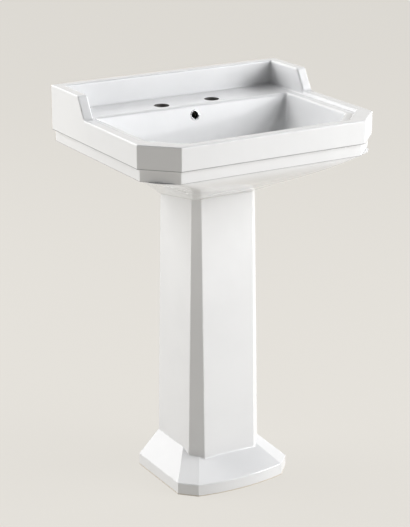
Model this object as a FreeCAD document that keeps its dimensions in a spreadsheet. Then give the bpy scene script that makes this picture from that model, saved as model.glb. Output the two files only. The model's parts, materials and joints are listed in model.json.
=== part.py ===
"""Pedestal sink: a stepped octagonal basin with a raised back, carried on a tapered hollow pedestal.

Frame: +Z up, the user faces +Y, and the wall is the plane at half the basin's depth.
The origin is on the floor under the middle of the basin's outline.
All lengths are millimetres.
"""

import FreeCAD, Part
import Sketcher
import math
import os
from FreeCAD import Placement, Rotation, Vector

os.makedirs("parts", exist_ok=True)
doc = FreeCAD.newDocument("pedestal_sink")

# ---------------------------------------------------------------- driving dimensions

SIZES = {
    # basin, outside
    "basin_width": 600,
    "basin_depth": 473,
    "corner_cut": 68,
    "rim_height": 880,
    "slab_height": 53,
    "band_height": 28,
    "band_inset": 8,
    # raised back and its two wings
    "upstand_rise": 50,
    "upstand_thick": 22,
    "wing_length": 134,
    "wing_slope": 29,
    "wing_top_round": 8,
    "wing_foot_round": 10,
    # rim, step and deck
    "side_rim": 25,
    "front_rim": 26,
    "corner_rim": 38,
    "deck_step": 7,
    "deck_depth": 103,
    "ledge_width": 22,
    "pocket_foot_corner": 26,
    "inner_round": 5,
    "outer_round": 3,
    "upright_round": 4,
    "deck_foot_round": 4,
    # bowl
    "bowl_depth": 137,
    "bowl_corner": 74,
    "bowl_back_corner": 52,
    "mouth_back_corner": 6,
    "mouth_round": 6,
    "china_wall": 12,
    # taps and overflow
    "tap_hole_dia": 35,
    "tap_spacing": 133,
    "tap_from_wall": 93,
    "overflow_drop": 31,
    "overflow_hole_dia": 19,
    "duct_width": 40,
    "duct_depth": 14,
    # underside
    "seat_below_bowl": 50,
    "seat_slope": 0.149,
    "recess_from_wall": 14,
    "wall_fix_spacing": 280,
    "wall_fix_dia": 14,
    "wall_fix_drop": 58,
    # pedestal
    "column_back": 116,
    "column_top_half": 84,
    "column_top_reach": 68.5,
    "column_top_cut": 16,
    "column_foot_half": 96,
    "column_foot_reach": 84.5,
    "column_foot_cut": 28,
    "column_wall": 13,
    "plinth_half": 149,
    "plinth_reach": 134,
    "plinth_cut": 35,
    "plinth_bow": 13,
    "plinth_height": 28.5,
    "flare_height": 52,
    "flare_front_set": 75,
    "crease_round": 6,
    "column_round": 3,
    "plinth_round": 3,
    "lug_size": 30,
    "lug_height": 14,
    "floor_fix_dia": 8,
    "gasket_thick": 1.5,
    "gasket_set": 1.5,
    # waste fitting
    "waste_from_wall": 205,
    "waste_hole_dia": 46,
    "waste_flange_dia": 64,
    "waste_flange_thick": 3,
    "waste_tail_dia": 42,
    "waste_bore_dia": 35,
    "waste_tail_length": 92,
    "waste_seat_thick": 38,
    "slot_height": 12,
    "slot_width": 20,
    "foam_thick": 1.5,
    "washer_thick": 7,
    "washer_dia": 60,
    "backnut_height": 11,
    "backnut_dia": 62,
    "thread_play": 0.1,
    # push-open plug
    "cap_dia": 58,
    "cap_thick": 4.5,
    "cap_dome": 2.5,
    "plug_lift": 9,
    "stem_dia": 8,
    "stem_length": 34,
    "guide_height": 12,
    "guide_play": 0.05,
    "spring_dia": 13,
    "spring_wire": 1.2,
    # bottle trap
    "trap_pipe_dia": 32,
    "trap_pipe_wall": 2,
    "trap_inlet_length": 34,
    "trap_body_dia": 66,
    "trap_body_height": 58,
    "trap_wall": 2.5,
    "trap_cup_depth": 62,
    "trap_seal_thick": 2,
    "trap_nut_height": 20,
    "trap_nut_wall": 3.5,
    "trap_stub_length": 24,
    "cup_grip": 14,
    "escutcheon_dia": 44,
    "escutcheon_thick": 8,
}

sheet = doc.addObject("Spreadsheet::Sheet", "Sizes")
for row, (alias, value) in enumerate(SIZES.items(), start=1):
    sheet.set(f"A{row}", alias)
    sheet.set(f"B{row}", str(value))
    sheet.setAlias(f"B{row}", alias)
doc.recompute()


def size(alias):
    """The value of one driving dimension."""
    return float(sheet.get(alias))


# Derived places. Distances named "out" are measured from the wall towards the user.
WALL = size("basin_depth") / 2
RIM = size("rim_height")
DECK = RIM - size("deck_step")
SLAB_FOOT = RIM - size("slab_height")
BAND_FOOT = SLAB_FOOT - size("band_height")
BASIN_HALF = size("basin_width") / 2
BAND_HALF = BASIN_HALF - size("band_inset")
POCKET_HALF = BASIN_HALF - size("side_rim")
POCKET_FRONT = size("basin_depth") - size("front_rim")
BOWL_HALF = POCKET_HALF - size("ledge_width")
BOWL_BACK = size("upstand_thick") + size("deck_depth")
BOWL_FRONT = POCKET_FRONT - size("ledge_width")
BOWL_FLOOR = DECK - size("bowl_depth")
WASTE_OUT = size("waste_from_wall")
CHINA = size("china_wall")
BELLY_TOP_HALF = BAND_HALF - 6
BELLY_TOP_FRONT = size("basin_depth") - size("band_inset") - 6
SEAT_MARGIN = 4
SEAT_HALF = size("column_top_half") + SEAT_MARGIN
COLUMN_TOP_FRONT = WASTE_OUT + size("column_top_reach")
COLUMN_FOOT_FRONT = WASTE_OUT + size("column_foot_reach")
PLINTH_FRONT = WASTE_OUT + size("plinth_reach")
SEAT_FRONT = COLUMN_TOP_FRONT + SEAT_MARGIN
SEAT_BACK = size("column_back") - 2 * SEAT_MARGIN
SEAT_LEVEL = BOWL_FLOOR - size("seat_below_bowl")


def y_at(out):
    """Model y of a point that stands 'out' from the wall."""
    return WALL - out


def mix(low, high, share):
    """Straight blend from low to high."""
    return low + (high - low) * share


def seat_height(out):
    """Height of the sloping plane that the basin's underside offers the pedestal."""
    return SEAT_LEVEL + size("seat_slope") * (out - WASTE_OUT)


# ---------------------------------------------------------------- shape helpers

CIRCULAR = 0.414
SQUARE = 0.02


def outline(half, back, front, height, front_corner=0.0, back_corner=2.0,
            front_round=CIRCULAR, back_round=CIRCULAR, bow=0.0, slope=0.0):
    """Closed outline of a basin-like section: straight sides joined by four corner arcs.

    The plane rises by 'slope' per millimetre out from the waste's axis.
    """

    def spot(x, out):
        return Vector(x, y_at(out), height + slope * (out - WASTE_OUT))

    def corner(start, end, sharp, roundness):
        middle_x = mix((start[0] + end[0]) / 2, sharp[0], roundness)
        middle_out = mix((start[1] + end[1]) / 2, sharp[1], roundness)
        return Part.Arc(spot(*start), spot(middle_x, middle_out), spot(*end)).toShape()

    left_back = (-half + back_corner, back)
    left_side = (-half, back + back_corner)
    left_low = (-half, front - front_corner)
    left_front = (-half + front_corner, front)
    right_front = (half - front_corner, front)
    right_low = (half, front - front_corner)
    right_side = (half, back + back_corner)
    right_back = (half - back_corner, back)
    if bow:
        front_edge = Part.Arc(spot(*left_front), spot(0, front + bow), spot(*right_front)).toShape()
    else:
        front_edge = Part.makeLine(spot(*left_front), spot(*right_front))
    return Part.Wire([
        Part.makeLine(spot(*right_back), spot(*left_back)),
        corner(left_back, left_side, (-half, back), back_round),
        Part.makeLine(spot(*left_side), spot(*left_low)),
        corner(left_low, left_front, (-half, front), front_round),
        front_edge,
        corner(right_front, right_low, (half, front), front_round),
        Part.makeLine(spot(*right_low), spot(*right_side)),
        corner(right_side, right_back, (half, back), back_round),
    ])


def octagon(half, back, front, cut, height, bow=0.0):
    """Outline with two square back corners and two cut front corners."""
    spots = [(half, back), (-half, back), (-half, front - cut), (-half + cut, front)]
    spots += [(half - cut, front), (half, front - cut)]
    points = [Vector(x, y_at(out), height) for x, out in spots]
    edges = [Part.makeLine(points[i], points[i + 1]) for i in (0, 1, 2)]
    if bow:
        edges.append(Part.Arc(points[3], Vector(0, y_at(front + bow), height), points[4]).toShape())
    else:
        edges.append(Part.makeLine(points[3], points[4]))
    edges.append(Part.makeLine(points[4], points[5]))
    edges.append(Part.makeLine(points[5], points[0]))
    return Part.Wire(edges)


def prism(wire, top):
    """Solid from a level outline straight up to the height 'top'."""
    return Part.Face(wire).extrude(Vector(0, 0, top - wire.BoundBox.ZMin))


def block(half, out_near, out_far, low, high, centre=0.0):
    """Box between two distances from the wall, 'half' to each side of 'centre'."""
    corner = Vector(centre - half, y_at(out_far), low)
    return Part.makeBox(2 * half, out_far - out_near, high - low, corner)


def upright(radius, low, high, x=0.0, out=WASTE_OUT):
    """Vertical cylinder."""
    return Part.makeCylinder(radius, high - low, Vector(x, y_at(out), low))


def feature(name, shape, place=None):
    """Document object that holds a finished solid, set down at 'place'."""
    item = doc.addObject("Part::Feature", name)
    item.Label = name
    item.Shape = shape.Solids[0]
    item.Placement = place or Placement()
    return item


# ---------------------------------------------------------------- basin

def corner_inset(cut, rim, wide):
    """Cut of an inner corner whose diagonal edge lies 'wide' inside the outer one.

    'rim' is the sum of the two straight edges' insets.
    """
    return cut + wide * math.sqrt(2) - rim


POCKET_CUT = corner_inset(size("corner_cut"), size("side_rim") + size("front_rim"), size("corner_rim"))
BOWL_CUT = corner_inset(POCKET_CUT, 2 * size("ledge_width"), size("ledge_width"))


def closing(depth, lean):
    """Share by which a bowl wall has closed in at a share 'depth' of the bowl's depth.

    A leaning straight line blended with a cubic superellipse: lean*d + (1-lean)*(1-(1-d^3)^(1/3)).
    """
    return lean * depth + (1 - lean) * (1 - (1 - depth ** 3) ** (1 / 3))


def bowl_solid(grow=0.0):
    """The bowl's space, or the same space grown by a wall thickness."""
    floor_half = size("waste_flange_dia") / 2 + 14
    stations = []
    for depth in (0.0, 0.25, 0.5, 0.72, 0.87, 0.96, 1.0):
        half = mix(BOWL_HALF, floor_half, closing(depth, 0.17)) + grow
        back = mix(BOWL_BACK, WASTE_OUT - 39, closing(depth, 0.75)) - grow
        front = mix(BOWL_FRONT, WASTE_OUT + 41, closing(depth, 0.1)) + grow
        stations.append(outline(
            half, back, front, mix(DECK, BOWL_FLOOR - grow, depth),
            front_corner=min(mix(BOWL_CUT, size("bowl_corner"), depth), 0.8 * half),
            back_corner=min(mix(size("mouth_back_corner"), size("bowl_back_corner"), depth ** 0.8), 0.6 * half),
            front_round=mix(SQUARE, CIRCULAR, min(1.0, 1.2 * depth)),
            back_round=CIRCULAR,
        ))
    return Part.makeLoft(stations, True, False)


def belly_spread(rise):
    """Share by which the underside has spread sideways at a share 'rise' of its height."""
    return rise ** 1.2


def belly_solid(inset=0.0):
    """The rounded underside, from the pedestal's sloping seat up to the lower band."""
    stations = []
    for rise in (0.0, 0.16, 0.41, 0.7, 1.0):
        side = belly_spread(rise)
        forward = 1 - (1 - rise) ** 2
        stations.append(outline(
            mix(SEAT_HALF, BELLY_TOP_HALF, side) - inset,
            mix(SEAT_BACK, 6, side) + inset,
            mix(SEAT_FRONT, BELLY_TOP_FRONT, forward) - inset,
            mix(SEAT_LEVEL + inset, BAND_FOOT, rise),
            front_corner=mix(size("column_top_cut"), size("corner_cut"), 1 - (1 - rise) ** 3),
            back_corner=12,
            slope=size("seat_slope") * (1 - rise),
        ))
    return Part.makeLoft(stations, True, False)


def upstand_block():
    """Raised back with its two sloping-ended wings, before the pocket is cut."""
    top = RIM + size("upstand_rise")
    root = RIM - size("deck_step")
    long = size("wing_length") + size("wing_slope")
    profile = [(0, root), (0, top), (size("wing_length"), top), (long, RIM), (long, root), (0, root)]
    wire = Part.makePolygon([Vector(-BASIN_HALF, y_at(out), z) for out, z in profile])
    return Part.Face(wire).extrude(Vector(2 * BASIN_HALF, 0, 0))


def recess_solid():
    """Open space under the tap deck, where the tap tails and the wall bolts are reached."""
    near = size("recess_from_wall")
    far = SEAT_BACK - 4
    roof = DECK - CHINA - 2
    stations = []
    for rise in (-0.25, 0.0, 0.3, 0.65, 1.0):
        side = belly_spread(max(rise, 0.0))
        half = mix(SEAT_HALF, BELLY_TOP_HALF, side) - CHINA - 2 + min(rise, 0.0)
        stations.append(octagon(half, near, far, 2, mix(SEAT_LEVEL, BAND_FOOT, rise)))
    lower = Part.makeLoft(stations, True, True)
    upper = prism(octagon(BELLY_TOP_HALF - CHINA - 2, near, far, 2, BAND_FOOT), roof)
    boss = block(size("duct_width") / 2 + CHINA, far - CHINA - 6, far + 20, SEAT_LEVEL - 60, roof + 10)
    tap_pads = [
        block(size("tap_hole_dia") / 2 + 12, size("tap_from_wall") - 30, far + 8, DECK - CHINA - 30, roof,
              side * size("tap_spacing") / 2)
        for side in (-1, 1)
    ]
    return lower.fuse(upper).cut(boss).fuse(tap_pads)


DUCT_NEAR = SEAT_BACK - 4 - 5
DUCT_FAR = DUCT_NEAR + size("duct_depth")
SLOT_LEVEL = BOWL_FLOOR - size("waste_seat_thick") / 2 - 2


def water_passage():
    """Overflow way: hole, upright duct behind the bowl, and the low channel to the waste hole."""
    top = RIM - size("overflow_drop") + size("overflow_hole_dia") / 2 + 4
    low = SLOT_LEVEL - size("slot_height") / 2
    high = SLOT_LEVEL + size("slot_height") / 2
    duct = block(size("duct_width") / 2, DUCT_NEAR, DUCT_FAR, low, top)
    channel = block(size("slot_width") / 2, DUCT_NEAR, WASTE_OUT, low, high)
    return duct.fuse(channel)


OVERFLOW_LEVEL = RIM - size("overflow_drop")
OVERFLOW_BITE = 1.2


def bowl_back_out(level):
    """How far from the wall the bowl's back face stands at a height."""
    return mix(BOWL_BACK, WASTE_OUT - 39, closing((DECK - level) / size("bowl_depth"), 0.75))


OVERFLOW_SEAT_OUT = bowl_back_out(OVERFLOW_LEVEL) - OVERFLOW_BITE
OVERFLOW_LEAN = math.degrees(math.atan2(bowl_back_out(OVERFLOW_LEVEL - 5) - bowl_back_out(OVERFLOW_LEVEL + 5), 10))


def overflow_axis_solid(radius, back, front):
    """Cylinder on the overflow's leaning axis, from 'back' behind its seat to 'front' before it."""
    lean = math.radians(OVERFLOW_LEAN)
    way = Vector(0, -math.cos(lean), math.sin(lean))
    seat = Vector(0, y_at(OVERFLOW_SEAT_OUT), OVERFLOW_LEVEL)
    return Part.makeCylinder(radius, back + front, seat - way * back, way)


def hollow_wall():
    """Space between the bowl and the outer skin, which fired ware leaves hollow."""
    band_inner = prism(octagon(BAND_HALF - CHINA, BOWL_BACK, size("basin_depth") - size("band_inset") - CHINA,
                               size("corner_cut"), BAND_FOOT - 1), DECK - CHINA)
    belly_inner = belly_solid(CHINA).common(block(BASIN_HALF, BOWL_BACK, size("basin_depth"), 0, BAND_FOOT))
    boss = upright(size("waste_hole_dia") / 2 + 17, 0, RIM)
    return band_inner.fuse(belly_inner).cut([bowl_solid(CHINA), boss])


def edge_middle(edge):
    """Distance from the middle plane, distance from the wall and height of an edge's middle."""
    point = edge.valueAt((edge.FirstParameter + edge.LastParameter) / 2)
    return abs(point.x), WALL - point.y, point.z


def is_upright(edge):
    """True for a straight vertical edge."""
    box = edge.BoundBox
    return box.ZLength > 2 and box.XLength < 0.5 and box.YLength < 0.5


def rounded(shape, radius, wanted):
    """Shape with a fillet on every edge that 'wanted' picks by its middle and the edge itself."""
    picked = [edge for edge in shape.Edges if wanted(*edge_middle(edge), edge)]
    return shape.makeFillet(radius, picked).Solids[0]


def near(value, target, play=0.6):
    """True when a value lies within 'play' of its target."""
    return abs(value - target) < play


def on_cut_outline(x, out, half, back, front, cut):
    """True for a point on the sides, back, front or cut corners of an octagonal outline."""
    return (near(x, half, 3.2) or near(out, back, 3.2) or near(out, front, 1.2)
            or (near(x + out, half + front - cut, 4) and out > front - cut - 5))


def pocket_solid():
    """Space inside the upstand and the rim; its back corners are sharp at the top and wide at the deck."""
    stations = []
    for height, corner in ((DECK, size("pocket_foot_corner")), (RIM + size("upstand_rise") + 2, 1.5)):
        stations.append(outline(POCKET_HALF, size("upstand_thick"), POCKET_FRONT, height, POCKET_CUT, corner,
                                front_round=0.0001, back_round=CIRCULAR))
    return Part.makeLoft(stations, True, True)


def round_basin(body):
    """Softens the basin's edges as glaze leaves them, before any hole is cut."""
    top = RIM + size("upstand_rise")
    wing_end = size("wing_length") + size("wing_slope")
    wing_mid = (BASIN_HALF + POCKET_HALF) / 2
    outer_sum = BASIN_HALF + size("basin_depth") - size("corner_cut")

    def on_bowl_mouth(x, out, z, edge):
        inside = x < POCKET_HALF - 8 and BOWL_BACK - 9 < out < POCKET_FRONT - 8
        on_pocket_cut = near(x + out, POCKET_HALF + POCKET_FRONT - POCKET_CUT, 4)
        return near(z, DECK, 0.3) and inside and not on_pocket_cut

    def on_pocket_foot(x, out, z, edge):
        outside = not on_bowl_mouth(x, out, z, edge) and x < POCKET_HALF + 1
        return near(z, DECK, 0.3) and outside and out > size("upstand_thick") - 1

    def on_front_upright(x, out, z, edge):
        outside = x + out > POCKET_HALF + POCKET_FRONT - POCKET_CUT + 10
        return is_upright(edge) and BAND_FOOT < z < RIM and outside

    def on_wing_foot(x, out, z, edge):
        return near(out, wing_end) and near(z, RIM) and near(x, wing_mid, 2)

    def on_wing_top(x, out, z, edge):
        return near(out, size("wing_length")) and near(z, top) and near(x, wing_mid, 2)

    def on_outer_crest(x, out, z, edge):
        on_cut = x + out > outer_sum - 6 and out > wing_end + 7
        return z > RIM - 1 and out > 5 and (near(x, BASIN_HALF) or on_cut)

    def on_inner_crest(x, out, z, edge):
        inside = on_cut_outline(x, out, POCKET_HALF, size("upstand_thick"), POCKET_FRONT, POCKET_CUT)
        return z > RIM - 1 and out > size("upstand_thick") - 3 and inside

    body = rounded(body, size("mouth_round"), on_bowl_mouth)
    body = rounded(body, size("deck_foot_round"), on_pocket_foot)
    body = rounded(body, size("upright_round"), on_front_upright)
    body = rounded(body, size("wing_foot_round"), on_wing_foot)
    body = rounded(body, size("wing_top_round"), on_wing_top)
    body = rounded(body, min(size("outer_round"), size("side_rim") * 0.3), on_outer_crest)
    return rounded(body, min(size("inner_round"), size("upstand_thick") * 0.4), on_inner_crest)


def make_basin():
    """The whole ceramic basin as one fired piece."""
    slab = prism(octagon(BASIN_HALF, 0, size("basin_depth"), size("corner_cut"), SLAB_FOOT), RIM)
    band = prism(octagon(BAND_HALF, 0, size("basin_depth") - size("band_inset"),
                         size("corner_cut") - size("band_inset") * (2 - math.sqrt(2)), BAND_FOOT), SLAB_FOOT)
    body = slab.fuse([band, belly_solid(), upstand_block()]).removeSplitter()
    body = round_basin(body.cut([pocket_solid(), bowl_solid()]))
    waste = size("waste_hole_dia") / 2
    flange = size("waste_flange_dia") / 2 + 1
    spot_face = BOWL_FLOOR - size("waste_flange_thick") - size("foam_thick") - size("waste_seat_thick")
    holes = [
        recess_solid(),
        upright(waste, 0, RIM),
        upright(flange, BOWL_FLOOR - size("waste_flange_thick") - size("foam_thick"), BOWL_FLOOR + 20),
        upright(size("backnut_dia") / 2 + 3, SEAT_LEVEL - 60, spot_face),
        water_passage(),
        overflow_axis_solid(size("overflow_hole_dia") / 2 + 0.1, 20, 10),
        overflow_axis_solid(size("overflow_hole_dia") / 2 + 2.6, 0, 12),
        hollow_wall(),
    ]
    for side in (-1, 1):
        holes.append(upright(size("tap_hole_dia") / 2, DECK - 40, DECK + 5,
                             side * size("tap_spacing") / 2, size("tap_from_wall")))
        holes.append(Part.makeCylinder(
            size("wall_fix_dia") / 2, size("recess_from_wall") + 10,
            Vector(side * size("wall_fix_spacing") / 2, WALL + 5, RIM - size("wall_fix_drop")), Vector(0, -1, 0)))
    return body.cut(holes)


basin_shape = make_basin()
feature("basin", basin_shape)

# ---------------------------------------------------------------- pedestal

def column_outline(height, inset=0.0, extra_back=0.0):
    """Section of the tapered column at a height; straight taper from foot to seat."""
    share = (height - size("plinth_height")) / (SEAT_LEVEL - size("plinth_height"))
    half = mix(size("column_foot_half"), size("column_top_half"), share)
    front = mix(COLUMN_FOOT_FRONT, COLUMN_TOP_FRONT, share)
    cut = mix(size("column_foot_cut"), size("column_top_cut"), share)
    return octagon(half - inset, size("column_back") - extra_back, front - inset,
                   cut - inset * (2 - math.sqrt(2)), height)


def flare_outline(share, inset=0.0, extra_back=0.0):
    """Section of the spreading foot; share 0 is its top, 1 its lower edge on the plinth."""
    height = mix(size("plinth_height") + size("flare_height"), size("plinth_height"), share)
    half = mix(size("column_foot_half"), size("plinth_half"), share)
    front = mix(PLINTH_FRONT - size("flare_front_set"), PLINTH_FRONT, share)
    cut = mix(size("column_foot_cut"), size("plinth_cut"), share)
    return octagon(half - inset, size("column_back") - extra_back, front - inset,
                   cut - inset * (2 - math.sqrt(2)), height, bow=size("plinth_bow") * share + 0.5)


def below_seat(shape, drop, thickness=400.0):
    """Part of a shape below the sloping seat plane lowered by 'drop'."""
    reach = 600.0
    low, high = seat_height(0) - drop, seat_height(reach) - drop
    profile = [Vector(-reach, y_at(0), low), Vector(-reach, y_at(reach), high),
               Vector(-reach, y_at(reach), high + thickness), Vector(-reach, y_at(0), low + thickness)]
    wedge = Part.Face(Part.makePolygon(profile + profile[:1])).extrude(Vector(2 * reach, 0, 0))
    return shape.cut(wedge)


def pedestal_skin(inset=0.0, extra_back=0.0):
    """Outer skin of the pedestal, or its inner space when inset by the wall."""
    top = SEAT_LEVEL + 60
    column = Part.makeLoft([column_outline(size("plinth_height"), inset, extra_back),
                            column_outline(top, inset, extra_back)], True, True)
    flare = Part.makeLoft([flare_outline(0, inset, extra_back), flare_outline(1, inset, extra_back)], True, True)
    foot = flare_outline(1, inset, extra_back)
    foot.translate(Vector(0, 0, -size("plinth_height")))
    plinth = prism(foot, size("plinth_height"))
    return column.fuse([flare, plinth])


def round_pedestal(skin):
    """Softens the column's edges, the front crease above the foot and the plinth's top edge."""
    low = size("plinth_height")
    middle = (size("column_back") + COLUMN_FOOT_FRONT) / 2

    def on_column_edge(x, out, z, edge):
        return edge.Length > 0.7 * (SEAT_LEVEL - low) and out > middle

    def on_front_crease(x, out, z, edge):
        inside = out > size("column_back") + 20 and low + 20 < z < low + size("flare_height")
        return x < 5 and inside and edge.Length > size("column_top_half") / 2

    def on_plinth_top(x, out, z, edge):
        return near(z, low, 0.3) and out > size("column_back") + 0.5

    skin = rounded(skin, min(size("column_round"), size("column_wall") * 0.5), on_column_edge)
    skin = rounded(skin, size("crease_round"), on_front_crease)
    return rounded(skin, size("plinth_round"), on_plinth_top)


def make_pedestal():
    """Hollow column, open at the back, with two lugs for the floor screws."""
    inner = pedestal_skin(size("column_wall"), 10)
    shape = round_pedestal(pedestal_skin().removeSplitter()).cut(inner)
    for side in (-1, 1):
        wall_x = side * (size("plinth_half") - size("column_wall"))
        lug = block(size("lug_size") / 2, size("column_back") + 40, size("column_back") + 40 + size("lug_size") * 1.4,
                    0, size("lug_height"), wall_x - side * size("lug_size") / 2)
        shape = shape.fuse(lug)
    for side in (-1, 1):
        hole_x = side * FLOOR_FIX_HALF
        shape = shape.cut(upright(size("floor_fix_dia") / 2, -5, size("lug_height") + 5, hole_x, FLOOR_FIX_OUT))
    return below_seat(shape.removeSplitter(), size("gasket_thick"))


FLOOR_FIX_HALF = size("plinth_half") - size("column_wall") - size("lug_size") / 2
FLOOR_FIX_OUT = size("column_back") + 40 + size("lug_size") * 0.7

pedestal_shape = make_pedestal()
feature("pedestal", pedestal_shape)


def make_gasket():
    """Silicone bed between the column's top edge and the basin's seat."""
    low, high = SEAT_LEVEL - 40, SEAT_LEVEL + 60
    near, far = size("gasket_set"), size("column_wall") - size("gasket_set")
    ring = Part.makeLoft([column_outline(low, near, -near), column_outline(high, near, -near)], True, True)
    ring = ring.cut(Part.makeLoft([column_outline(low, far, 10), column_outline(high, far, 10)], True, True))
    return below_seat(ring, 0).cut(below_seat(ring, size("gasket_thick")))


feature("seat_gasket", make_gasket())

# ---------------------------------------------------------------- turned parts

def plane_of(body, role):
    """Origin plane of a body, found by its role."""
    return [item for item in body.Origin.OriginFeatures if item.Role == role][0]


def bind_place(item, x="0", out="waste_from_wall", z="0"):
    """Tie an object's position to the sheet: x, distance from the wall, height."""
    item.setExpression("Placement.Base.x", linked(x))
    item.setExpression("Placement.Base.y", linked(f"basin_depth / 2 - ({out})"))
    item.setExpression("Placement.Base.z", linked(z))


def linked(text):
    """Expression text with every alias read from the sheet."""
    words = []
    for word in text.replace("(", "( ").replace(")", " )").split():
        words.append(f"Sizes.{word}" if word in SIZES else word)
    return " ".join(words)


def bind_polygon(sketch, corners):
    """Closed polygon in a sketch, each corner held by two distances that follow the sheet."""
    count = len(corners)
    numbers = [(value_of(across), value_of(up)) for across, up in corners]
    for i in range(count):
        start, end = numbers[i], numbers[(i + 1) % count]
        sketch.addGeometry(Part.LineSegment(Vector(start[0], start[1], 0), Vector(end[0], end[1], 0)), False)
    for i in range(count):
        sketch.addConstraint(Sketcher.Constraint("Coincident", i, 2, (i + 1) % count, 1))
    for i in range(count):
        for kind, text, number in zip(("DistanceX", "DistanceY"), corners[i], numbers[i]):
            index = sketch.addConstraint(Sketcher.Constraint(kind, -1, 1, i, 1, number))
            sketch.setExpression(f"Constraints[{index}]", linked(text))


def turned(name, profile, level="0", x="0", out="waste_from_wall"):
    """PartDesign body turned about its own vertical axis.

    'profile' lists (radius, height) corners as expressions of the sheet, in order round the section.
    """
    body = doc.addObject("PartDesign::Body", name)
    body.Label = name
    sketch = body.newObject("Sketcher::SketchObject", name + "_profile")
    sketch.AttachmentSupport = (plane_of(body, "XZ_Plane"), [""])
    sketch.MapMode = "FlatFace"
    bind_polygon(sketch, profile)
    turn = body.newObject("PartDesign::Revolution", name + "_turn")
    turn.Profile = sketch
    turn.ReferenceAxis = (sketch, ["V_Axis"])
    turn.Angle = 360
    sketch.Visibility = False
    bind_place(body, x, out, level)
    return body


def value_of(text):
    """Number that an expression of the sheet gives."""
    return float(sheet.evalExpression(text))


def corner_ring(inner, outer, low, high):
    """Square-cornered ring section, as four corners."""
    return [(inner, low), (outer, low), (outer, high), (inner, high)]


# Heights named with a trailing _z are measured from the bowl's floor, where the flange lies flush.
FLOOR_LEVEL = "rim_height - deck_step - bowl_depth"
TAIL_R = "waste_tail_dia / 2"
NUT_R = "waste_tail_dia / 2 + thread_play"
BORE_R = "waste_bore_dia / 2"
FLANGE_Z = "0 - waste_flange_thick"
FOAM_Z = "0 - waste_flange_thick - foam_thick"
SPOT_Z = FOAM_Z + " - waste_seat_thick"
WASHER_Z = SPOT_Z + " - washer_thick"
BACKNUT_Z = WASHER_Z + " - backnut_height"
TAIL_Z = "0 - waste_tail_length"

waste = turned("waste_body", [
    (BORE_R, "0"), ("waste_flange_dia / 2 - 1", "0"), ("waste_flange_dia / 2", "0 - 1"),
    ("waste_flange_dia / 2", FLANGE_Z), (TAIL_R, FLANGE_Z), (TAIL_R, TAIL_Z), (BORE_R, TAIL_Z),
], FLOOR_LEVEL)

# Two windows in the tail let the overflow water in; they face the wall and the user.
window = waste.newObject("Sketcher::SketchObject", "waste_window")
window.AttachmentSupport = (plane_of(waste, "XZ_Plane"), [""])
window.MapMode = "FlatFace"
slot_mid = "0 - waste_seat_thick / 2 - 2"
window_corners = [("0 - slot_width / 2", slot_mid + " - slot_height / 2"),
                  ("slot_width / 2", slot_mid + " - slot_height / 2"),
                  ("slot_width / 2", slot_mid + " + slot_height / 2"),
                  ("0 - slot_width / 2", slot_mid + " + slot_height / 2")]
bind_polygon(window, window_corners)
cut = waste.newObject("PartDesign::Pocket", "waste_windows")
cut.Profile = window
cut.Midplane = True
cut.Type = 1
window.Visibility = False

turned("waste_foam", corner_ring(NUT_R, "waste_flange_dia / 2 - 1", FOAM_Z, FLANGE_Z), FLOOR_LEVEL)
turned("waste_washer", corner_ring(NUT_R, "washer_dia / 2", WASHER_Z, SPOT_Z), FLOOR_LEVEL)


def bound(kind, name, **sizes):
    """Part primitive whose properties follow expressions of the sheet."""
    item = doc.addObject(kind, name)
    for key, text in sizes.items():
        item.setExpression(key, linked(text))
    return item


def named_cut(name, base, tool):
    """Part::Cut that takes the node's name."""
    item = doc.addObject("Part::Cut", name)
    item.Base = base
    item.Tool = tool
    item.Label = name
    return item


hexagon = bound("Part::Prism", "backnut_blank", Circumradius="backnut_dia / 2", Height="backnut_height")
hexagon.Polygon = 6
bind_place(hexagon, z=FLOOR_LEVEL + " + " + BACKNUT_Z)
nut_bore = bound("Part::Cylinder", "backnut_bore", Radius=NUT_R, Height="backnut_height + 2")
bind_place(nut_bore, z=FLOOR_LEVEL + " + " + BACKNUT_Z + " - 1")
named_cut("waste_backnut", hexagon, nut_bore)

turned("overflow_ring", [
    ("overflow_hole_dia / 2 - 2", "0 - 11"), ("overflow_hole_dia / 2", "0 - 11"),
    ("overflow_hole_dia / 2", "0"), ("overflow_hole_dia / 2 + 2.2", "0"),
    ("overflow_hole_dia / 2 + 2.2", "0.8"), ("overflow_hole_dia / 2 + 1.4", "2"),
    ("overflow_hole_dia / 2 - 1", "2"), ("overflow_hole_dia / 2 - 2", "1.2"),
])
ring = doc.getObject("overflow_ring")
for axis in "xyz":
    ring.setExpression("Placement.Base." + axis, None)
ring.Placement = Placement(Vector(0, y_at(OVERFLOW_SEAT_OUT), OVERFLOW_LEVEL),
                           Rotation(Vector(1, 0, 0), 90 - OVERFLOW_LEAN))

# ---------------------------------------------------------------- push-open plug, drawn raised

PLUG_LEVEL = FLOOR_LEVEL + " + plug_lift"
SEAL_THICK = "1.5"
CAP_TOP = "1.5 + cap_thick"
GUIDE_TOP_Z = "0 - 30"
GUIDE_LOW_Z = "0 - 30 - guide_height"
COLLAR_Z = "0 - 6"
STEM_R = "stem_dia / 2"
CLIP_TOP_Z = GUIDE_LOW_Z + " - plug_lift - 0.2"

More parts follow.
